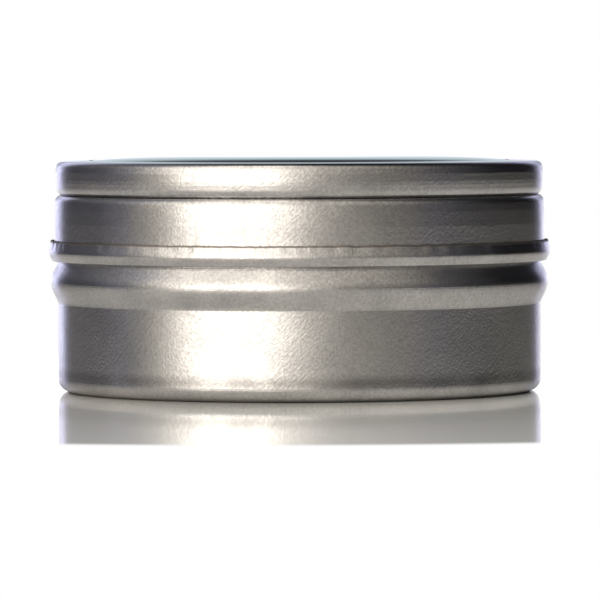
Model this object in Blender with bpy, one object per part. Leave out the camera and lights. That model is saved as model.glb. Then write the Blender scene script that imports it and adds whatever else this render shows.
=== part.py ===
"""Round tin with a slip lid and a clear window. Metres, +Z up, origin at the middle of the foot.

Three pressed pieces, each swept round the Z axis from the middle line of its sheet:
tin_body is drawn in one piece, lid_shell slides down over it to the bead, and window_insert
is a clear formed cap held in the lid between the top flange and the rolled groove.
"""

import math

import bmesh
import bpy

# Sheets and running gaps
TINPLATE = 0.00025
CLEAR_SHEET = 0.0003
SEAT_GAP = 0.0003
SLIDE_GAP = 0.00028

# Tin body: outer sizes, heights from the foot
BODY_RADIUS = 0.0350
BODY_HEIGHT = 0.02685
FOOT_CORNER_RADIUS = 0.0013
FOOT_RISE = 0.00015
FOOT_RISE_WIDTH = 0.0011
FOOT_RING_WIDTH = 0.0009
BASE_RECESS = 0.0007
BASE_STEP_WIDTH = 0.0009
BASE_BEND_RADIUS = 0.0002
BEAD_MIDDLE_HEIGHT = 0.0159
BEAD_HALF_WIDTH = 0.0031
BEAD_PROUD = 0.00103
RIM_CURL_RADIUS = 0.00042
RIM_CURL_END = 0.00012

# Lid: heights from its own lower edge, which stops just above where the bead would fill its bore
LID_TO_BEAD_GAP = 0.00068
BAND_HEIGHT = 0.00615
BAND_STEP_IN = 0.0002
BAND_CORNER_RADIUS = 0.00105
CREASE_DROP = 0.00165
CREASE_LEAN = 0.00008
SHOULDER_RADIUS = 0.00045
FLANGE_WIDTH = 0.0049
GROOVE_DEPTH = 0.00183
GROOVE_BEND_RADIUS = 0.000275
SKIRT_SHOULDER_RADIUS = 0.00042
LID_CURL_PROUD = 0.00087
LID_CURL_HEIGHT = 0.0030
LID_CURL_FOOT_IN = 0.00012
LID_CURL_BULGE_HEIGHT = 0.0013
LID_CURL_BULGE_RADIUS = 0.0015
LID_CURL_EDGE_IN = 0.0002

# Clear insert: its dome rises through the lid's opening, flatter in the middle than at its edge
DOME_RISE = 0.0006
DOME_POWER = 6
INSERT_BEND_RADIUS = 0.0001

# How finely the round stretches are divided
TURN_STEPS = 44
BEND_STEP_DEGREES = 30
BEAD_STEPS = 8
DOME_STEPS = 6
MERGE_DISTANCE = 0.00001

# Places that more than one piece is set out from
HALF_TINPLATE = TINPLATE / 2
HALF_CLEAR_SHEET = CLEAR_SHEET / 2
BEAD_MEETS_BORE_SHARE = math.acos(2 * SLIDE_GAP / BEAD_PROUD - 1) / math.pi
LID_FOOT = BEAD_MIDDLE_HEIGHT + BEAD_HALF_WIDTH * BEAD_MEETS_BORE_SHARE + LID_TO_BEAD_GAP
SKIRT_RADIUS = BODY_RADIUS + SLIDE_GAP + TINPLATE
BAND_RADIUS = SKIRT_RADIUS - BAND_STEP_IN
OPENING_RADIUS = BAND_RADIUS - FLANGE_WIDTH
LEDGE = BODY_HEIGHT + SEAT_GAP + HALF_TINPLATE - LID_FOOT
GROOVE_ROOF = LEDGE + 2 * (GROOVE_BEND_RADIUS + HALF_TINPLATE)
BAND_FOOT = GROOVE_ROOF + BAND_CORNER_RADIUS + HALF_TINPLATE
LID_TOP = LEDGE + BAND_HEIGHT


def remove_all_objects():
    for obj in list(bpy.data.objects):
        bpy.data.objects.remove(obj, do_unlink=True)


def material(name, colour, metallic, roughness, alpha=1.0):
    made = bpy.data.materials.new(name)
    made.use_nodes = True
    surface = made.node_tree.nodes["Principled BSDF"]
    surface.inputs["Base Color"].default_value = (*colour, 1.0)
    surface.inputs["Metallic"].default_value = metallic
    surface.inputs["Roughness"].default_value = roughness
    surface.inputs["Alpha"].default_value = alpha
    return made


def rounded(corners):
    """Points of a line through corners, each (radius, height, bend radius), with an arc at each bend."""
    points = [corners[0][:2]]
    for before, corner, after in zip(corners, corners[1:], corners[2:]):
        arrive = math.atan2(corner[1] - before[1], corner[0] - before[0])
        leave = math.atan2(after[1] - corner[1], after[0] - corner[0])
        turn = math.remainder(leave - arrive, math.tau)
        bend = corner[2]
        reach = bend * math.tan(abs(turn) / 2)
        side = math.copysign(math.pi / 2, turn)
        start = (corner[0] - reach * math.cos(arrive), corner[1] - reach * math.sin(arrive))
        centre = (start[0] + bend * math.cos(arrive + side), start[1] + bend * math.sin(arrive + side))
        steps = math.ceil(round(abs(math.degrees(turn)) / BEND_STEP_DEGREES, 3)) if bend else 0
        for step in range(steps + 1):
            at = arrive - side + turn * step / max(steps, 1)
            point = (centre[0] + bend * math.cos(at), centre[1] + bend * math.sin(at))
            if math.dist(point, points[-1]) > MERGE_DISTANCE:
                points.append(point)
    points.append(corners[-1][:2])
    return points


def swept_sheet(name, middle_line, sheet, finish):
    """A pressed sheet: its middle line, outside first and top to bottom, turned about Z and thickened."""
    mesh = bpy.data.meshes.new(name)
    shape = bmesh.new()
    line = [shape.verts.new((radius, 0, height)) for radius, height in middle_line]
    for first, second in zip(line, line[1:]):
        shape.edges.new((first, second))
    shape.to_mesh(mesh)
    shape.free()
    mesh.materials.append(finish)
    obj = bpy.data.objects.new(name, mesh)
    bpy.context.scene.collection.objects.link(obj)

    turn = obj.modifiers.new("turn", "SCREW")
    turn.axis = "Z"
    turn.angle = math.tau
    turn.steps = turn.render_steps = TURN_STEPS
    turn.use_merge_vertices = True
    turn.merge_threshold = MERGE_DISTANCE
    turn.use_smooth_shade = True

    wall = obj.modifiers.new("sheet", "SOLIDIFY")
    wall.thickness = sheet
    wall.offset = 0
    wall.use_even_offset = True
    wall.use_rim = True
    return obj


def bead_line():
    """The rolled bead on the wall: one smooth swell outwards, from its top to its foot."""
    points = []
    for step in range(BEAD_STEPS + 1):
        share = 1 - 2 * step / BEAD_STEPS
        swell = BEAD_PROUD * (1 + math.cos(math.pi * share)) / 2
        points.append((BODY_RADIUS - HALF_TINPLATE + swell, BEAD_MIDDLE_HEIGHT + BEAD_HALF_WIDTH * share))
    return points


def tin_body(finish):
    """Rim curled inwards, straight wall with its bead, rounded corner, narrow foot ring and raised base."""
    wall = BODY_RADIUS - HALF_TINPLATE
    curl_bend = RIM_CURL_RADIUS + HALF_TINPLATE
    curl_top = BODY_HEIGHT - HALF_TINPLATE
    curl_inside = wall - 2 * curl_bend
    curl_foot = curl_top - 2 * curl_bend
    curl_end = curl_inside + curl_bend + RIM_CURL_END
    bead = bead_line()
    upper = rounded([
        (curl_end, curl_foot, 0),
        (curl_inside, curl_foot, curl_bend),
        (curl_inside, curl_top, curl_bend),
        (wall, curl_top, curl_bend),
        (wall, bead[0][1], 0),
    ])

    foot = HALF_TINPLATE
    panel = HALF_TINPLATE + BASE_RECESS
    ring_outside = BODY_RADIUS - FOOT_CORNER_RADIUS - FOOT_RISE_WIDTH
    ring_inside = ring_outside - FOOT_RING_WIDTH
    panel_radius = ring_inside - BASE_STEP_WIDTH
    bend = BASE_BEND_RADIUS + HALF_TINPLATE
    lower = rounded([
        (wall, bead[-1][1], 0),
        (wall, foot + FOOT_RISE, FOOT_CORNER_RADIUS - HALF_TINPLATE),
        (ring_outside, foot, bend),
        (ring_inside, foot, bend),
        (panel_radius, panel, bend),
        (0, panel, 0),
    ])
    return swept_sheet("tin_body", upper[:-1] + bead + lower[1:], TINPLATE, finish)


def lid_shell(finish):
    """Top flange round the opening, window band, rolled groove, skirt, and a lower edge curled outwards."""
    band = BAND_RADIUS - HALF_TINPLATE
    skirt = SKIRT_RADIUS - HALF_TINPLATE
    top = LID_TOP - HALF_TINPLATE
    groove = BAND_RADIUS - GROOVE_DEPTH - HALF_TINPLATE
    groove_bend = GROOVE_BEND_RADIUS + HALF_TINPLATE
    curl = skirt + LID_CURL_PROUD
    curl_bend = (LID_CURL_PROUD - LID_CURL_FOOT_IN) / 2
    curl_foot = HALF_TINPLATE
    line = rounded([
        (OPENING_RADIUS, top, 0),
        (band - CREASE_LEAN, top, SHOULDER_RADIUS + HALF_TINPLATE),
        (band, LID_TOP - CREASE_DROP, 0),
        (band, GROOVE_ROOF, BAND_CORNER_RADIUS + HALF_TINPLATE),
        (groove, GROOVE_ROOF, groove_bend),
        (groove, LEDGE, groove_bend),
        (skirt, LEDGE, SKIRT_SHOULDER_RADIUS + HALF_TINPLATE),
        (skirt, curl_foot, curl_bend),
        (curl - LID_CURL_FOOT_IN, curl_foot, curl_bend),
        (curl, LID_CURL_BULGE_HEIGHT, LID_CURL_BULGE_RADIUS),
        (curl - LID_CURL_EDGE_IN, LID_CURL_HEIGHT, 0),
    ])
    return swept_sheet("lid_shell", line, TINPLATE, finish)


def window_insert(finish):
    """Clear cap: a skirt inside the band, a ring under the flange and a low dome in the opening."""
    skirt = BAND_RADIUS - TINPLATE - SEAT_GAP - HALF_CLEAR_SHEET
    ring = LID_TOP - TINPLATE - SEAT_GAP - HALF_CLEAR_SHEET
    dome_radius = OPENING_RADIUS - SEAT_GAP - HALF_CLEAR_SHEET
    dome_edge = LID_TOP - HALF_CLEAR_SHEET
    bend = INSERT_BEND_RADIUS + HALF_CLEAR_SHEET
    dome = []
    for step in range(DOME_STEPS):
        share = math.sin(math.pi / 2 * step / DOME_STEPS)
        dome.append((dome_radius * share, dome_edge + DOME_RISE * (1 - share**DOME_POWER)))
    outer = rounded([
        (*dome[-1], 0),
        (dome_radius, dome_edge, bend),
        (dome_radius, ring, bend),
        (skirt, ring, bend),
        (skirt, BAND_FOOT, 0),
    ])
    return swept_sheet("window_insert", dome[:-1] + outer, CLEAR_SHEET, finish)


def lid_axis():
    """Empty on the tin's axis at the lid's lower edge: the lid lifts off along its Z."""
    axis = bpy.data.objects.new("lid_axis", None)
    axis.location = (0, 0, LID_FOOT)
    bpy.context.scene.collection.objects.link(axis)
    return axis


def main():
    remove_all_objects()
    tinplate = material("satin_tinplate", (0.60, 0.58, 0.55), 1.0, 0.32)
    clear_plastic = material("clear_plastic", (0.80, 0.90, 0.90), 0.0, 0.06, alpha=0.3)
    tin_body(tinplate)
    lid = lid_axis()
    for piece in (lid_shell(tinplate), window_insert(clear_plastic)):
        piece.parent = lid


main()
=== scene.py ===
import math

import bpy
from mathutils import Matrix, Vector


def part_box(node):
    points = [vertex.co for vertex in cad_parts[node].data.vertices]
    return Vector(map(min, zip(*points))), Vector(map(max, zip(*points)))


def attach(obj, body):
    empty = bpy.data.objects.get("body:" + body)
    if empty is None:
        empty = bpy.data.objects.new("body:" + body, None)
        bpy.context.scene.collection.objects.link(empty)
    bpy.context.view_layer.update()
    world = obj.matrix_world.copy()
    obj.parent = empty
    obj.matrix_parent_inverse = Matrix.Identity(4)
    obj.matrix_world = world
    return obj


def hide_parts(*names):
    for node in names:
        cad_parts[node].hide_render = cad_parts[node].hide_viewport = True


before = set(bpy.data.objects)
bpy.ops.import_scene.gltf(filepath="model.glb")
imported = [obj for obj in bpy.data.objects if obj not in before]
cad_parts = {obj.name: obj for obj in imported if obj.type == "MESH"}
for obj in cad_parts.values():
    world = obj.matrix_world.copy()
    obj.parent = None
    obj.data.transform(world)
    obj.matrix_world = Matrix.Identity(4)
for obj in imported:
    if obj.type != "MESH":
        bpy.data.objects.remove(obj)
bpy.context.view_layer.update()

# Drawn cup. The real one is a single disc of 0.25 mm tinplate, drawn up into a straight wall. A bead
# is rolled out of it just below the lid, its cut rim is curled inwards, where the lid hides it, and its
# bottom corner rises slightly to a narrow foot ring round a raised base panel.
TINPLATE = 0.00025
HALF_TINPLATE = TINPLATE / 2
CUP_FOOT, CUP_RIM = (corner.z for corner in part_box("tin_body"))
BEAD_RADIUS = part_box("tin_body")[1].x
BEAD_PROUD = 0.00103
BEAD_MIDDLE = 0.0159
BEAD_HALF_WIDTH = 0.0031
FULLNESS_ABOVE = 0.85
FULLNESS_BELOW = 0.75
BEAD_POINTS = 24
FOOT_CORNER = 0.0019
FOOT_RISE = 0.0002
FOOT_RISE_WIDTH = 0.0005
FOOT_RING_WIDTH = 0.0009
BASE_RECESS = 0.0007
BASE_STEP = 0.0009
BASE_BEND = 0.0002
CUP_RIM_CURL = 0.00042
CUP_RIM_END = 0.00012
BEND_POINT_DEGREES = 9
STEPS_ROUND = 480
SMALLEST_GAP = 0.000001
SHARP_DEGREES = 38
RIPPLE_LENGTH = 0.0020
RIPPLE_DETAIL = 3.0
RIPPLE_ROUGHNESS = 0.6
RIPPLE_SEED = 1.0
LEAN_SHARE = 0.6


def rounded(corners):
    """Points of a line through corners, each (radius, height, bend radius), with an arc at each bend."""
    points = [corners[0][:2]]
    for before, corner, after in zip(corners, corners[1:], corners[2:]):
        arrive = math.atan2(corner[1] - before[1], corner[0] - before[0])
        leave = math.atan2(after[1] - corner[1], after[0] - corner[0])
        turn = math.remainder(leave - arrive, math.tau)
        bend = corner[2]
        reach = bend * math.tan(abs(turn) / 2)
        side = math.copysign(math.pi / 2, turn)
        start = (corner[0] - reach * math.cos(arrive), corner[1] - reach * math.sin(arrive))
        centre = (start[0] + bend * math.cos(arrive + side), start[1] + bend * math.sin(arrive + side))
        steps = math.ceil(abs(math.degrees(turn)) / BEND_POINT_DEGREES) if bend else 0
        for step in range(steps + 1):
            at = arrive - side + turn * step / max(steps, 1)
            point = (centre[0] + bend * math.cos(at), centre[1] + bend * math.sin(at))
            if math.dist(point, points[-1]) > SMALLEST_GAP:
                points.append(point)
    points.append(corners[-1][:2])
    return points


def sheet_outline(line, sheet):
    """The closed outline of a sheet of even thickness along a middle line, with its ends cut square."""
    outer, inner = [], []
    for at, point in enumerate(line):
        before, after = line[max(at - 1, 0)], line[min(at + 1, len(line) - 1)]
        arrive = math.atan2(point[1] - before[1], point[0] - before[0]) if at else None
        leave = math.atan2(after[1] - point[1], after[0] - point[0]) if at < len(line) - 1 else arrive
        arrive = leave if arrive is None else arrive
        half_turn = math.remainder(leave - arrive, math.tau) / 2
        square = arrive + half_turn + math.pi / 2
        reach = sheet / 2 / math.cos(half_turn)
        across = (reach * math.cos(square), reach * math.sin(square))
        outer.append((point[0] + across[0], point[1] + across[1]))
        inner.append((point[0] - across[0], point[1] - across[1]))
    return outer + inner[::-1]


def add(tree, kind, inputs=None, **settings):
    """Adds a node with its settings, and feeds each input, by name or number, from a socket or a value."""
    node = tree.nodes.new(kind)
    for name, value in settings.items():
        setattr(node, name, value)
    for key, value in (inputs or {}).items():
        if isinstance(value, bpy.types.NodeSocket):
            tree.links.new(value, node.inputs[key])
        else:
            node.inputs[key].default_value = value
    return node


def turned_sheet():
    """Geometry Nodes tree that turns a sheet's outline about Z, and ripples its cut edge up and down and
    in and out. The edge's ripple is kept as the attribute cut_edge, which the material reads."""
    tree = bpy.data.node_groups.new("turned sheet", "GeometryNodeTree")
    sockets = (
        ("Outline", "NodeSocketGeometry", None),
        ("Steps round", "NodeSocketInt", STEPS_ROUND),
        ("Edge ripple", "NodeSocketFloat", 0.0),
        ("Ripple length", "NodeSocketFloat", RIPPLE_LENGTH),
        ("Seed", "NodeSocketFloat", RIPPLE_SEED),
        ("Finish", "NodeSocketMaterial", None),
    )
    for name, kind, value in sockets:
        socket = tree.interface.new_socket(name, in_out="INPUT", socket_type=kind)
        if value is not None:
            socket.default_value = value
    tree.interface.new_socket("Sheet", in_out="OUTPUT", socket_type="NodeSocketGeometry")
    given = add(tree, "NodeGroupInput").outputs
    outline = given["Outline"]

    # A grid of one column of points for each step round and one row for each point of the outline, with
    # the first column and row repeated at the end. The repeats are merged once the points are placed.
    count = add(tree, "GeometryNodeAttributeDomainSize", {"Geometry": outline}).outputs["Point Count"]
    rows = add(tree, "ShaderNodeMath", {0: count, 1: 1.0}, operation="ADD").outputs[0]
    columns = add(tree, "ShaderNodeMath", {0: given["Steps round"], 1: 1.0}, operation="ADD").outputs[0]
    grid = add(tree, "GeometryNodeMeshGrid", {"Vertices X": columns, "Vertices Y": rows}).outputs["Mesh"]
    index = add(tree, "GeometryNodeInputIndex").outputs["Index"]
    column = add(tree, "ShaderNodeMath", {0: index, 1: rows}, operation="DIVIDE").outputs[0]
    column = add(tree, "ShaderNodeMath", {0: column}, operation="FLOOR").outputs[0]
    row = add(tree, "ShaderNodeMath", {0: index, 1: rows}, operation="MODULO").outputs[0]
    row = add(tree, "ShaderNodeMath", {0: row, 1: count}, operation="MODULO").outputs[0]
    share = add(tree, "ShaderNodeMath", {0: column, 1: given["Steps round"]}, operation="DIVIDE").outputs[0]
    angle = add(tree, "ShaderNodeMath", {0: share, 1: math.tau}, operation="MULTIPLY").outputs[0]

    place = add(tree, "GeometryNodeInputPosition").outputs[0]
    point = add(tree, "GeometryNodeSampleIndex", {"Geometry": outline, "Value": place, "Index": row},
                data_type="FLOAT_VECTOR").outputs[0]
    free = add(tree, "GeometryNodeInputNamedAttribute", {"Name": "free_edge"}).outputs[0]
    free = add(tree, "GeometryNodeSampleIndex", {"Geometry": outline, "Value": free, "Index": row},
               data_type="FLOAT").outputs[0]
    point = add(tree, "ShaderNodeSeparateXYZ", {0: point}).outputs
    turned = add(tree, "ShaderNodeCombineXYZ", {"X": point["X"], "Z": point["Z"]}).outputs[0]
    turned = add(tree, "ShaderNodeVectorRotate", {"Vector": turned, "Angle": angle},
                 rotation_type="Z_AXIS").outputs[0]

    # The ripple follows the place as seen from above, so both faces of the thin sheet move almost alike.
    around = add(tree, "ShaderNodeVectorMath", {0: turned, 1: (1.0, 1.0, 0.0)},
                 operation="MULTIPLY").outputs[0]
    finer = add(tree, "ShaderNodeMath", {0: 1.0, 1: given["Ripple length"]}, operation="DIVIDE").outputs[0]
    noise = add(tree, "ShaderNodeTexNoise",
                {"Vector": around, "W": given["Seed"], "Scale": finer, "Detail": RIPPLE_DETAIL,
                 "Roughness": RIPPLE_ROUGHNESS},
                noise_dimensions="4D").outputs[0]
    reach = add(tree, "ShaderNodeMath", {0: free, 1: given["Edge ripple"]}, operation="MULTIPLY").outputs[0]
    lift = add(tree, "ShaderNodeMapRange", {"Value": noise, "To Min": -1.0, "To Max": 1.0}).outputs[0]
    lift = add(tree, "ShaderNodeMath", {0: lift, 1: reach}, operation="MULTIPLY").outputs[0]
    lift = add(tree, "ShaderNodeCombineXYZ", {"Z": lift}).outputs[0]
    slow = add(tree, "ShaderNodeTexNoise",
               {"Vector": around, "W": given["Seed"], "Scale": finer, "Detail": 0.0},
               noise_dimensions="4D").outputs[0]
    lean = add(tree, "ShaderNodeMapRange",
               {"Value": slow, "To Min": -LEAN_SHARE, "To Max": LEAN_SHARE}).outputs[0]
    lean = add(tree, "ShaderNodeMath", {0: lean, 1: reach}, operation="MULTIPLY").outputs[0]
    outward = add(tree, "ShaderNodeVectorMath", {0: around}, operation="NORMALIZE").outputs[0]
    lean = add(tree, "ShaderNodeVectorMath", {0: outward, "Scale": lean}, operation="SCALE").outputs[0]
    lift = add(tree, "ShaderNodeVectorMath", {0: lift, 1: lean}, operation="ADD").outputs[0]
    placed = add(tree, "GeometryNodeSetPosition",
                 {"Geometry": grid, "Position": turned, "Offset": lift}).outputs[0]
    marked = add(tree, "GeometryNodeStoreNamedAttribute",
                 {"Geometry": placed, "Name": "cut_edge", "Value": free},
                 data_type="FLOAT", domain="POINT").outputs[0]

    # Merging closes the sheet round the axis and at its middle, and may leave loose edges there.
    closed = add(tree, "GeometryNodeMergeByDistance",
                 {"Geometry": marked, "Distance": SMALLEST_GAP}).outputs[0]
    faces = add(tree, "GeometryNodeInputMeshEdgeNeighbors").outputs["Face Count"]
    loose = add(tree, "FunctionNodeCompare", {2: faces, 3: 0}, data_type="INT", operation="EQUAL").outputs[0]
    clean = add(tree, "GeometryNodeDeleteGeometry", {"Geometry": closed, "Selection": loose},
                domain="EDGE").outputs[0]
    bend = add(tree, "GeometryNodeInputMeshEdgeAngle").outputs["Unsigned Angle"]
    soft = add(tree, "FunctionNodeCompare", {0: bend, 1: math.radians(SHARP_DEGREES)},
               operation="LESS_THAN").outputs[0]
    smooth = add(tree, "GeometryNodeSetShadeSmooth", {"Geometry": clean, "Shade Smooth": soft},
                 domain="EDGE").outputs[0]
    real = add(tree, "GeometryNodeRealizeInstances", {"Geometry": smooth}).outputs[0]
    dressed = add(tree, "GeometryNodeSetMaterial",
                  {"Geometry": real, "Material": given["Finish"]}).outputs[0]
    add(tree, "NodeGroupOutput", {"Sheet": dressed})
    return tree


def turn_sheet(name, outline, free_edge, finish, **sizes):
    """A piece turned from an outline. free_edge gives each point's share of the cut edge's ripple."""
    mesh = bpy.data.meshes.new(name)
    edges = [(at, (at + 1) % len(outline)) for at in range(len(outline))]
    mesh.from_pydata([(radius, 0.0, height) for radius, height in outline], edges, [])
    mesh.attributes.new("free_edge", "FLOAT", "POINT").data.foreach_set("value", free_edge)
    piece = bpy.data.objects.new(name, mesh)
    bpy.context.scene.collection.objects.link(piece)
    turning = piece.modifiers.new("turning", "NODES")
    turning.node_group = TURNED_SHEET
    keys = {item.name: item.identifier for item in TURNED_SHEET.interface.items_tree}
    turning[keys["Finish"]] = finish
    for size, value in sizes.items():
        turning[keys[size.replace("_", " ").capitalize()]] = value
    evaluated = piece.evaluated_get(bpy.context.evaluated_depsgraph_get())
    made = bpy.data.meshes.new_from_object(evaluated)
    piece.modifiers.remove(turning)
    piece.data = made
    return piece


def linear(colour):
    """An sRGB hex colour as linear red, green, blue and full alpha."""
    shares = [int(colour[at:at + 2], 16) / 255 for at in (1, 3, 5)]
    return (*[s / 12.92 if s <= 0.04045 else ((s + 0.055) / 1.055) ** 2.4 for s in shares], 1.0)


# The real satin grain is about 0.1 mm wide and the rub marks are as fine as a hair. Both are too fine to
# show at this distance, so they are drawn about 0.4 mm wide.
GRAIN = 0.00038
GRAIN_DEPTH = 0.000015
RUB_WIDTH = 0.00040
RUB_DEPTH = 0.000011
RUB_STRETCH = 0.3
RUB_TWIST = -30.0
WAVES = 0.010
WAVE_DEPTH = 0.00005
SMUDGE = 0.007
SMUDGE_DETAIL = 4.0
MOTTLE_START = 0.7
MOTTLE_FULL = 1.3
SMOOTHEST = 0.20
ROUGHEST = 0.26
SPECK_SPACING = 0.0040
SPECK_SHARE = 0.018
SPECK_FADE = 1.6
SPECKS_LEFT_OUT = 0.75
# A darker band round the cup's wall, centred a little above the foot corner.
LOW_BAND_HEIGHT = 0.0027
LOW_BAND_HALF_WIDTH = 0.0014
IRONED_EDGE = 0.0001
IRONED_ROUGHNESS = 0.08
CUT_EDGE_START = 0.74
CUT_EDGE_FULL = 0.82
CUT_EDGE_ROUGHNESS = 0.5
TIN_LIGHT = "#bab9b9"
TIN_DARK = "#9b9a9b"
SPECK_COLOUR = "#4a4643"
LOW_BAND_COLOUR = "#5c5958"
CUT_EDGE_COLOUR = "#716b66"


def satin_tinplate(name, shift, low_band=None, ironed_above=None):
    """Steel sheet with a satin tin coating, drawn and handled: soft glints that break up into a bright grain,
    faint slanting rub marks, a few dark specks and a darker cut edge. Each sheet's patterns are moved along
    by its own shift. The cup may be given a darker band round its wall at one height, a little above the
    foot, and the press may have ironed the sheet smoother above the height ironed_above."""
    made = bpy.data.materials.new(name)
    made.use_nodes = True
    tree = made.node_tree
    surface = tree.nodes["Principled BSDF"]
    surface.inputs["Metallic"].default_value = 1.0
    place = add(tree, "ShaderNodeTexCoord").outputs["Object"]
    height = add(tree, "ShaderNodeSeparateXYZ", {0: place}).outputs["Z"]
    moved = add(tree, "ShaderNodeMapping", {"Vector": place, "Location": (shift, 0.0, 0.0)}).outputs[0]

    # Each height is turned a little further about Z, so noise drawn out along Z slants round the wall.
    twist = add(tree, "ShaderNodeMath", {0: height, 1: RUB_TWIST}, operation="MULTIPLY").outputs[0]
    slanted = add(tree, "ShaderNodeVectorRotate", {"Vector": place, "Angle": twist},
                  rotation_type="Z_AXIS").outputs[0]
    slanted = add(tree, "ShaderNodeMapping", {"Vector": slanted, "Scale": (1.0, 1.0, RUB_STRETCH)}).outputs[0]
    rubs = add(tree, "ShaderNodeTexNoise",
               {"Vector": slanted, "Scale": 1 / RUB_WIDTH, "Detail": 1.0}).outputs[0]
    grain = add(tree, "ShaderNodeTexNoise", {"Vector": moved, "Scale": 1 / GRAIN, "Detail": 1.0}).outputs[0]
    waves = add(tree, "ShaderNodeTexNoise", {"Vector": moved, "Scale": 1 / WAVES, "Detail": 1.0}).outputs[0]
    normal = add(tree, "ShaderNodeBump", {"Height": waves, "Distance": WAVE_DEPTH}).outputs[0]
    normal = add(tree, "ShaderNodeBump",
                 {"Height": grain, "Distance": GRAIN_DEPTH, "Normal": normal}).outputs[0]
    normal = add(tree, "ShaderNodeBump",
                 {"Height": rubs, "Distance": RUB_DEPTH, "Normal": normal}).outputs[0]
    if ironed_above:
        smooth = add(tree, "ShaderNodeMapRange",
                     {"Value": height, "From Min": ironed_above,
                      "From Max": ironed_above + IRONED_EDGE}).outputs[0]
        flat = add(tree, "ShaderNodeNewGeometry").outputs["Normal"]
        normal = add(tree, "ShaderNodeMix", {0: smooth, 4: normal, 5: flat}, data_type="VECTOR").outputs[1]
    tree.links.new(normal, surface.inputs["Normal"])

    smudge = add(tree, "ShaderNodeTexNoise",
                 {"Vector": moved, "Scale": 1 / SMUDGE, "Detail": SMUDGE_DETAIL}).outputs[0]
    mottle = add(tree, "ShaderNodeMath", {0: smudge, 1: grain}, operation="ADD").outputs[0]
    mottle = add(tree, "ShaderNodeMapRange",
                 {"Value": mottle, "From Min": MOTTLE_START, "From Max": MOTTLE_FULL}).outputs[0]
    rough = add(tree, "ShaderNodeMapRange",
                {"Value": mottle, "To Min": SMOOTHEST, "To Max": ROUGHEST}).outputs[0]
    if ironed_above:
        rough = add(tree, "ShaderNodeMix", {0: smooth, 2: rough, 3: IRONED_ROUGHNESS}).outputs[0]
    tone = add(tree, "ShaderNodeMix", {0: mottle, 6: linear(TIN_LIGHT), 7: linear(TIN_DARK)},
               data_type="RGBA").outputs[2]

    # One grain of grit for each cell of the pattern, of which most are left out.
    grit = add(tree, "ShaderNodeTexVoronoi", {"Vector": moved, "Scale": 1 / SPECK_SPACING}).outputs
    near = add(tree, "ShaderNodeMapRange",
               {"Value": grit["Distance"], "From Min": SPECK_SHARE, "From Max": SPECK_SHARE * SPECK_FADE,
                "To Min": 1.0, "To Max": 0.0}).outputs[0]
    chosen = add(tree, "ShaderNodeSeparateColor", {0: grit["Color"]}).outputs[0]
    chosen = add(tree, "ShaderNodeMath", {0: chosen, 1: SPECKS_LEFT_OUT},
                 operation="GREATER_THAN").outputs[0]
    dark = add(tree, "ShaderNodeMath", {0: near, 1: chosen}, operation="MULTIPLY").outputs[0]
    tone = add(tree, "ShaderNodeMix", {0: dark, 6: tone, 7: linear(SPECK_COLOUR)},
               data_type="RGBA").outputs[2]
    # A darker tone round the wall at one height, fading out above and below it, and patchy with the smudge
    # pattern.
    if low_band:
        off = add(tree, "ShaderNodeMath", {0: height, 1: low_band}, operation="SUBTRACT").outputs[0]
        off = add(tree, "ShaderNodeMath", {0: off}, operation="ABSOLUTE").outputs[0]
        in_low_band = add(tree, "ShaderNodeMapRange",
                   {"Value": off, "From Max": LOW_BAND_HALF_WIDTH, "To Min": 1.0, "To Max": 0.0},
                   interpolation_type="SMOOTHSTEP").outputs[0]
        in_low_band = add(tree, "ShaderNodeMath", {0: in_low_band, 1: smudge}, operation="MULTIPLY").outputs[0]
        tone = add(tree, "ShaderNodeMix", {0: in_low_band, 6: tone, 7: linear(LOW_BAND_COLOUR)},
                   data_type="RGBA").outputs[2]
    cut = add(tree, "ShaderNodeAttribute", attribute_name="cut_edge").outputs["Fac"]
    cut = add(tree, "ShaderNodeMapRange",
              {"Value": cut, "From Min": CUT_EDGE_START, "From Max": CUT_EDGE_FULL}).outputs[0]
    tone = add(tree, "ShaderNodeMix", {0: cut, 6: tone, 7: linear(CUT_EDGE_COLOUR)},
               data_type="RGBA").outputs[2]
    rough = add(tree, "ShaderNodeMix", {0: cut, 2: rough, 3: CUT_EDGE_ROUGHNESS}).outputs[0]
    tree.links.new(rough, surface.inputs["Roughness"])
    tree.links.new(tone, surface.inputs["Base Color"])
    return made


TURNED_SHEET = turned_sheet()

wall = BEAD_RADIUS - BEAD_PROUD - HALF_TINPLATE
rim_bend = CUP_RIM_CURL + HALF_TINPLATE
rim_top = CUP_RIM - HALF_TINPLATE
rim_inside = wall - 2 * rim_bend
rim_foot = rim_top - 2 * rim_bend

# The bead swells out as a cosine does. Its fullness is a power, and below one it makes a fuller crest.
bead = []
for step in range(BEAD_POINTS + 1):
    share = 1 - 2 * step / BEAD_POINTS
    fullness = FULLNESS_ABOVE if share > 0 else FULLNESS_BELOW
    swell = BEAD_PROUD * max(0.0, (1 + math.cos(math.pi * share)) / 2)**fullness
    bead.append((wall + swell, BEAD_MIDDLE + BEAD_HALF_WIDTH * share))

foot = CUP_FOOT + HALF_TINPLATE
ring_outside = wall + HALF_TINPLATE - FOOT_CORNER - FOOT_RISE_WIDTH
ring_inside = ring_outside - FOOT_RING_WIDTH
base_bend = BASE_BEND + HALF_TINPLATE

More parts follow.
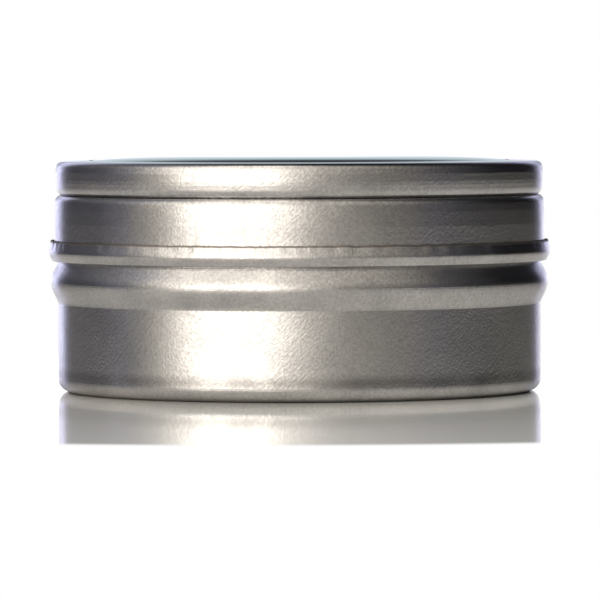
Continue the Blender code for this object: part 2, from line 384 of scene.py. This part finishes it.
# The cup's middle line, from the end of its rim curl, down the wall and in to the middle of its base.
upper = rounded([
    (rim_inside + rim_bend + CUP_RIM_END, rim_foot, 0),
    (rim_inside, rim_foot, rim_bend),
    (rim_inside, rim_top, rim_bend),
    (wall, rim_top, rim_bend),
    (wall, bead[0][1], 0),
])
lower = rounded([
    (wall, bead[-1][1], 0),
    (wall, foot + FOOT_RISE, FOOT_CORNER - HALF_TINPLATE),
    (ring_outside, foot, base_bend),
    (ring_inside, foot, base_bend),
    (ring_inside - BASE_STEP, foot + BASE_RECESS, base_bend),
    (0, foot + BASE_RECESS, 0),
])
outline = sheet_outline(upper[:-1] + bead + lower[1:], TINPLATE)
no_ripple = [0.0] * len(outline)
cup_tinplate = satin_tinplate("satin tinplate, cup", 0.0, low_band=LOW_BAND_HEIGHT)
cup = turn_sheet("drawn_cup", outline, no_ripple, cup_tinplate)
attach(cup, "tin")
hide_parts("tin_body")

# Pressed lid. The real one is a ring of the same tinplate: a flange round the opening, an upper band, a
# nearly closed groove with sloping lips, rolled in below the band, a plain skirt, and a lower edge
# curled outwards, with its raw edge up and slightly ragged from the cut.
LID_FOOT, LID_TOP = (corner.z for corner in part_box("lid_shell"))
CURL_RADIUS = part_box("lid_shell")[1].x
CURL_PROUD = 0.00087
CURL_LIFT = 0.00033
CURL_HEIGHT = 0.00292
CURL_FOOT_IN = 0.00055
CURL_BULGE_HEIGHT = 0.0012
CURL_BULGE_BEND = 0.0011
CURL_EDGE_IN = 0.00038
SKIRT_LEAN = 0.00012
SKIRT_LEAN_HEIGHT = 0.0024
SKIRT_BEND = 0.040
BAND_STEP_IN = 0.0002
BAND_CORNER = 0.00125
BAND_LEAN = 0.00012
BAND_LEAN_HEIGHT = 0.0014
BAND_BEND = 0.006
CREASE_DROP = 0.00165
CREASE_LEAN = 0.00022
FLANGE_FALL = 0.00018
SHOULDER = 0.00070
FLANGE_WIDTH = 0.0049
GROOVE_DEPTH = 0.00183
GROOVE_DROP = 0.005045
GROOVE_BEND = 0.00002
LIP_BEND = 0.00001
BAND_LIP_LENGTH = 0.00080
SKIRT_LIP_LENGTH = 0.00060
LIP_SLOPE_DEGREES = 46
SKIRT_SHOULDER = 0.00085
RAGGED_LENGTH = 0.0016
EDGE_RIPPLE = 0.00024
LID_PATTERN_SHIFT = 0.3

skirt = CURL_RADIUS - CURL_PROUD - HALF_TINPLATE
band = skirt - BAND_STEP_IN
top = LID_TOP - HALF_TINPLATE
groove = band - GROOVE_DEPTH
groove_bend = GROOVE_BEND + HALF_TINPLATE
groove_roof = LID_TOP - GROOVE_DROP + groove_bend
groove_floor = LID_TOP - GROOVE_DROP - groove_bend
lip_bend = LIP_BEND + HALF_TINPLATE
lip_slope = math.radians(LIP_SLOPE_DEGREES)
band_foot = groove_roof + BAND_LIP_LENGTH * math.cos(lip_slope)
skirt_top = groove_floor - SKIRT_LIP_LENGTH * math.cos(lip_slope)
curl = skirt + CURL_PROUD
curl_bend = (CURL_PROUD - CURL_FOOT_IN) / 2
curl_foot = LID_FOOT + CURL_LIFT + HALF_TINPLATE
raw_edge = (curl - CURL_EDGE_IN, LID_FOOT + CURL_LIFT + CURL_HEIGHT)

# The lid's middle line, from the opening's edge, out and down to the raw edge of its curl.
line = rounded([
    (band + HALF_TINPLATE - FLANGE_WIDTH, top, 0),
    (band - CREASE_LEAN, top - FLANGE_FALL, SHOULDER + HALF_TINPLATE),
    (band, LID_TOP - CREASE_DROP, 0),
    (band, band_foot + BAND_LEAN_HEIGHT, BAND_BEND),
    (band - BAND_LEAN, band_foot, BAND_CORNER + HALF_TINPLATE),
    (band - BAND_LEAN - BAND_LIP_LENGTH * math.sin(lip_slope), groove_roof, lip_bend),
    (groove, groove_roof, groove_bend),
    (groove, groove_floor, groove_bend),
    (skirt - SKIRT_LEAN - SKIRT_LIP_LENGTH * math.sin(lip_slope), groove_floor, lip_bend),
    (skirt - SKIRT_LEAN, skirt_top, SKIRT_SHOULDER + HALF_TINPLATE),
    (skirt, skirt_top - SKIRT_LEAN_HEIGHT, SKIRT_BEND),
    (skirt, curl_foot, curl_bend),
    (curl - CURL_FOOT_IN, curl_foot, curl_bend),
    (curl, LID_FOOT + CURL_LIFT + CURL_BULGE_HEIGHT, CURL_BULGE_BEND),
    (*raw_edge, 0),
])
outline = sheet_outline(line, TINPLATE)

# The cut edge's ripple dies away down the curl's outer leaf, and the skirt behind it has none.
ragged = []
for point in outline:
    near_edge = max(0.0, 1 - math.dist(point, raw_edge) / RAGGED_LENGTH)
    ragged.append(near_edge if point[0] > skirt + HALF_TINPLATE else 0.0)

flange_foot = LID_TOP - 2 * FLANGE_FALL
lid_tinplate = satin_tinplate("satin tinplate, lid", LID_PATTERN_SHIFT, ironed_above=flange_foot)
lid = turn_sheet("pressed_lid", outline, ragged, lid_tinplate, edge_ripple=EDGE_RIPPLE)
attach(lid, "lid")
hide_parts("lid_shell")

# Clear window. The real one is a cap formed from 0.3 mm clear sheet. Its skirt stands in the lid's
# band, between the flange and the groove, and its low dome rises through the opening.
CLEAR_SHEET = 0.0003
DOME_RISE = 0.0006
DOME_POWER = 5
DOME_POINTS = 24
WINDOW_BEND = 0.0001
SEAT_GAP = 0.0003
CLEAR_TINT = "#dcecec"
CLEAR_IOR = 1.54
CLEAR_ROUGHNESS = 0.04

window_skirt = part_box("window_insert")[1].x - CLEAR_SHEET / 2
window_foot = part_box("window_insert")[0].z
window_ring = LID_TOP - TINPLATE - SEAT_GAP - CLEAR_SHEET / 2
dome_radius = band + HALF_TINPLATE - FLANGE_WIDTH - SEAT_GAP - CLEAR_SHEET / 2
dome_edge = LID_TOP - CLEAR_SHEET / 2
window_bend = WINDOW_BEND + CLEAR_SHEET / 2

# The dome's last points would crowd the bend at its edge, so they are left out.
dome = []
for step in range(DOME_POINTS):
    share = math.sin(math.pi / 2 * step / DOME_POINTS)
    if dome_radius * (1 - share) > 2 * window_bend:
        dome.append((dome_radius * share, dome_edge + DOME_RISE * (1 - share**DOME_POWER)))

# Beyond the dome the sheet steps down to a ring under the flange, and then to the skirt in the band.
rim = rounded([
    (*dome[-1], 0),
    (dome_radius, dome_edge, window_bend),
    (dome_radius, window_ring, window_bend),
    (window_skirt, window_ring, window_bend),
    (window_skirt, window_foot, 0),
])


def clear_plastic(name):
    """Clear rigid film, formed hot: glossy, with a faint blue-green cast seen along the sheet."""
    made = bpy.data.materials.new(name)
    made.use_nodes = True
    surface = made.node_tree.nodes["Principled BSDF"]
    surface.inputs["Base Color"].default_value = linear(CLEAR_TINT)
    surface.inputs["Transmission Weight"].default_value = 1.0
    surface.inputs["IOR"].default_value = CLEAR_IOR
    surface.inputs["Roughness"].default_value = CLEAR_ROUGHNESS
    return made


outline = sheet_outline(dome[:-1] + rim, CLEAR_SHEET)
no_ripple = [0.0] * len(outline)
window = turn_sheet("clear_window", outline, no_ripple, clear_plastic("clear rigid film"))
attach(window, "lid")
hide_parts("window_insert")

# Floor. The tin stands on a sheet of glossy white acrylic, which mirrors it softly. The camera sees
# the sheet fade into plain white a little way in front of the tin and all round it.
FLOOR_REACH = 3.0
FLOOR_FADE_START = 0.124
FLOOR_FADE_END = 0.130
# Where the painted light on the floor begins, and how much white it has reached where the fade begins.
FLOOR_PAINTED_LIGHT_START = 0.045
FLOOR_PAINTED_LIGHT_SHARE = 0.14
FLOOR_TINT = "#cbcac6"
FLOOR_ROUGHNESS = 0.03


def four_cornered(name, corners):
    """A flat sheet with no thickness, through four corners."""
    mesh = bpy.data.meshes.new(name)
    mesh.from_pydata(corners, [], [(0, 1, 2, 3)])
    made = bpy.data.objects.new(name, mesh)
    bpy.context.scene.collection.objects.link(made)
    return made


floor = four_cornered("floor", [(-FLOOR_REACH, -FLOOR_REACH, 0.0), (FLOOR_REACH, -FLOOR_REACH, 0.0),
                                (FLOOR_REACH, FLOOR_REACH, 0.0), (-FLOOR_REACH, FLOOR_REACH, 0.0)])
acrylic = bpy.data.materials.new("glossy white acrylic")
acrylic.use_nodes = True
tree = acrylic.node_tree
sheet = tree.nodes["Principled BSDF"]
sheet.inputs["Base Color"].default_value = linear(FLOOR_TINT)
sheet.inputs["Roughness"].default_value = FLOOR_ROUGHNESS
place = add(tree, "ShaderNodeTexCoord").outputs["Object"]
away = add(tree, "ShaderNodeVectorMath", {0: place}, operation="LENGTH").outputs["Value"]
fade = add(tree, "ShaderNodeMapRange",
           {"Value": away, "From Min": FLOOR_FADE_START, "From Max": FLOOR_FADE_END}).outputs[0]
# Painted light: from a little way out, white is mixed in for the camera, more the further from the tin, so
# the floor close round the tin shows painted shade.
painted_light = add(tree, "ShaderNodeMapRange",
           {"Value": away, "From Min": FLOOR_PAINTED_LIGHT_START, "From Max": FLOOR_FADE_START,
            "To Max": FLOOR_PAINTED_LIGHT_SHARE}).outputs[0]
fade = add(tree, "ShaderNodeMath", {0: fade, 1: painted_light}, operation="MAXIMUM").outputs[0]
seen = add(tree, "ShaderNodeLightPath").outputs["Is Camera Ray"]
fade = add(tree, "ShaderNodeMath", {0: fade, 1: seen}, operation="MULTIPLY").outputs[0]
white = add(tree, "ShaderNodeEmission", {"Color": (1.0, 1.0, 1.0, 1.0), "Strength": 1.0}).outputs[0]
mixed = add(tree, "ShaderNodeMixShader", {0: fade, 1: sheet.outputs[0], 2: white}).outputs[0]
tree.links.new(mixed, tree.nodes["Material Output"].inputs["Surface"])
floor.data.materials.append(acrylic)

# Backdrop card. A low card behind the tin, which only reflections see: white at its foot, lavender at the
# height of the lid, and fading out in pale blue-green above. The flange, the window's dome and the edges of
# the wall show it.
CARD_BEHIND = 0.40
CARD_HALF_WIDTH = 0.16
CARD_HEIGHT = 0.10
CARD_LEVELS = (
    (0.0, 1.8, "#fafafc"), (0.028, 1.8, "#f6f5fc"), (0.036, 1.4, "#eeecff"), (0.047, 0.90, "#e4eef4"),
    (0.060, 0.80, "#d8e8ee"), (0.080, 0.50, "#d4e6ec"), (0.100, 0.0, "#d4e6ec"),
)

card = four_cornered("card", [(-CARD_HALF_WIDTH, CARD_BEHIND, 0.0), (CARD_HALF_WIDTH, CARD_BEHIND, 0.0),
                              (CARD_HALF_WIDTH, CARD_BEHIND, CARD_HEIGHT),
                              (-CARD_HALF_WIDTH, CARD_BEHIND, CARD_HEIGHT)])
paper = bpy.data.materials.new("lit coloured paper")
paper.use_nodes = True
tree = paper.node_tree
tree.nodes.remove(tree.nodes["Principled BSDF"])


def levels_over(tree, value, low, high, interpolation, stops):
    """Light over a value that runs from low to high, with a stop at each (value, level, sRGB hex tint)."""
    where = add(tree, "ShaderNodeMapRange", {"Value": value, "From Min": low, "From Max": high}).outputs[0]
    ramp = add(tree, "ShaderNodeValToRGB", {0: where})
    ramp.color_ramp.interpolation = interpolation
    while len(ramp.color_ramp.elements) < len(stops):
        ramp.color_ramp.elements.new(0.5)
    for stop, (at, level, tint) in zip(ramp.color_ramp.elements, stops):
        stop.position = (at - low) / (high - low)
        stop.color = (*[level * part for part in linear(tint)[:3]], 1.0)
    return ramp.outputs[0]


place = add(tree, "ShaderNodeTexCoord").outputs["Object"]
high = add(tree, "ShaderNodeSeparateXYZ", {0: place}).outputs["Z"]
glow = levels_over(tree, high, 0.0, CARD_HEIGHT, "LINEAR", CARD_LEVELS)
light = add(tree, "ShaderNodeEmission", {"Color": glow}).outputs[0]
tree.links.new(light, tree.nodes["Material Output"].inputs["Surface"])
card.data.materials.append(paper)
card.visible_camera = False
card.visible_shadow = False

# Studio. A dark room with one tall, warm, soft light to the left of the camera, which fades away on both
# sides and spreads wider and weaker above, and a cool strip of light on each side behind the tin. The
# levels go by angle from the camera, to the left below zero, and by angle above the floor.
KEY_LEVEL = 4.6
WARM, COOL, LAVENDER, PALE, WHITE = "#fff7ea", "#e2e3ff", "#dcdcff", "#f2f0f6", "#ffffff"
LOW_LEVELS = (
    (-180, 0.01, COOL), (-177, 0.03, LAVENDER), (-172, 0.42, LAVENDER), (-155, 0.50, LAVENDER),
    (-147, 0.02, COOL), (-110, 0.022, COOL), (-90, 0.055, COOL), (-75, 0.12, WARM), (-62, 0.30, WARM),
    (-52, 0.90, WARM), (-44, 1.0, WARM), (-18, 1.0, WARM), (-8, 0.62, WARM), (2, 0.32, WARM),
    (12, 0.17, WARM), (25, 0.09, WARM), (45, 0.054, WARM), (65, 0.028, COOL), (85, 0.008, COOL),
    (115, 0.002, COOL), (150, 0.003, COOL), (159, 0.34, LAVENDER), (172, 0.34, LAVENDER),
    (177, 0.02, LAVENDER), (180, 0.01, COOL),
)
HIGH_LEVELS = (
    (-180, 0.02, COOL), (-150, 0.04, PALE), (-112, 0.075, PALE), (-90, 0.17, PALE), (-65, 0.50, WARM),
    (-20, 0.50, WARM), (-5, 0.31, WARM), (14, 0.22, WARM), (39, 0.155, WARM), (60, 0.09, WARM),
    (83, 0.033, PALE), (112, 0.006, PALE), (180, 0.01, COOL),
)
HIGH_START, HIGH_FULL = 0.05, 0.65
HEIGHT_LEVELS = ((-90, 1.0, WHITE), (66, 1.0, WHITE), (80, 0.9, WHITE), (90, 0.5, WHITE))
OVERHEAD_PLACE = (0.4, -0.1, 0.8)
OVERHEAD_WIDTH = 1.0
OVERHEAD_WATTS = 6.5

world = bpy.data.worlds.new("studio")
bpy.context.scene.world = world
world.use_nodes = True
tree = world.node_tree
toward = add(tree, "ShaderNodeTexCoord").outputs["Generated"]
toward = add(tree, "ShaderNodeSeparateXYZ", {0: toward}).outputs
forward = add(tree, "ShaderNodeMath", {0: toward["Y"], 1: -1.0}, operation="MULTIPLY").outputs[0]
round_angle = add(tree, "ShaderNodeMath", {0: toward["X"], 1: forward}, operation="ARCTAN2").outputs[0]
round_angle = add(tree, "ShaderNodeMath", {0: round_angle}, operation="DEGREES").outputs[0]
height_angle = add(tree, "ShaderNodeMath", {0: toward["Z"]}, operation="ARCSINE").outputs[0]
height_angle = add(tree, "ShaderNodeMath", {0: height_angle}, operation="DEGREES").outputs[0]
low_light = levels_over(tree, round_angle, -180, 180, "EASE", LOW_LEVELS)
high_light = levels_over(tree, round_angle, -180, 180, "EASE", HIGH_LEVELS)
high = add(tree, "ShaderNodeMapRange",
           {"Value": toward["Z"], "From Min": HIGH_START, "From Max": HIGH_FULL}).outputs[0]
around = add(tree, "ShaderNodeMix", {0: high, 6: low_light, 7: high_light}, data_type="RGBA").outputs[2]
above = levels_over(tree, height_angle, -90, 90, "EASE", HEIGHT_LEVELS)
level = add(tree, "ShaderNodeMath", {0: above, 1: KEY_LEVEL}, operation="MULTIPLY").outputs[0]
room = tree.nodes["Background"]
tree.links.new(around, room.inputs["Color"])
tree.links.new(level, room.inputs["Strength"])

# The camera sees plain white round the tin and through its window, but the tin mirrors the dark room.
white = add(tree, "ShaderNodeBackground", {"Color": (1.0, 1.0, 1.0, 1.0), "Strength": 1.0}).outputs[0]
seen = add(tree, "ShaderNodeLightPath").outputs
seen = add(tree, "ShaderNodeMath", {0: seen["Is Camera Ray"], 1: seen["Is Transmission Ray"]},
           operation="MAXIMUM").outputs[0]
mixed = add(tree, "ShaderNodeMixShader", {0: seen, 1: room.outputs[0], 2: white}).outputs[0]
tree.links.new(mixed, tree.nodes["World Output"].inputs["Surface"])

# One broad lamp overhead brightens the floor and gives the tin its soft shadow there.
lamp = bpy.data.lights.new("overhead", "AREA")
lamp.shape = "SQUARE"
lamp.size = OVERHEAD_WIDTH
lamp.energy = OVERHEAD_WATTS
overhead = bpy.data.objects.new("overhead", lamp)
overhead.location = OVERHEAD_PLACE
overhead.visible_glossy = False
bpy.context.scene.collection.objects.link(overhead)

# Camera. It stands well back and a little above the lid, looking down by two degrees at the tin's
# middle, with the picture's width fixed at the tin's axis.
CAMERA_BACK = 0.811
CAMERA_HEIGHT = 0.0428
LOOK_HEIGHT = 0.0131
CAMERA_RIGHT = 0.00015
PICTURE_WIDTH = 0.08694
CAMERA_ROLL_DEGREES = 0.16

view = bpy.data.cameras.new("camera")
view.angle = 2 * math.atan(PICTURE_WIDTH / 2 / CAMERA_BACK)
camera = bpy.data.objects.new("camera", view)
camera.location = (CAMERA_RIGHT, -CAMERA_BACK, CAMERA_HEIGHT)
tilt = math.atan((CAMERA_HEIGHT - LOOK_HEIGHT) / CAMERA_BACK)
camera.rotation_mode = "XYZ"
camera.rotation_euler = (math.pi / 2 - tilt, math.radians(CAMERA_ROLL_DEGREES), 0.0)
bpy.context.scene.collection.objects.link(camera)
bpy.context.scene.camera = camera
bpy.context.scene.view_settings.view_transform = "Standard"
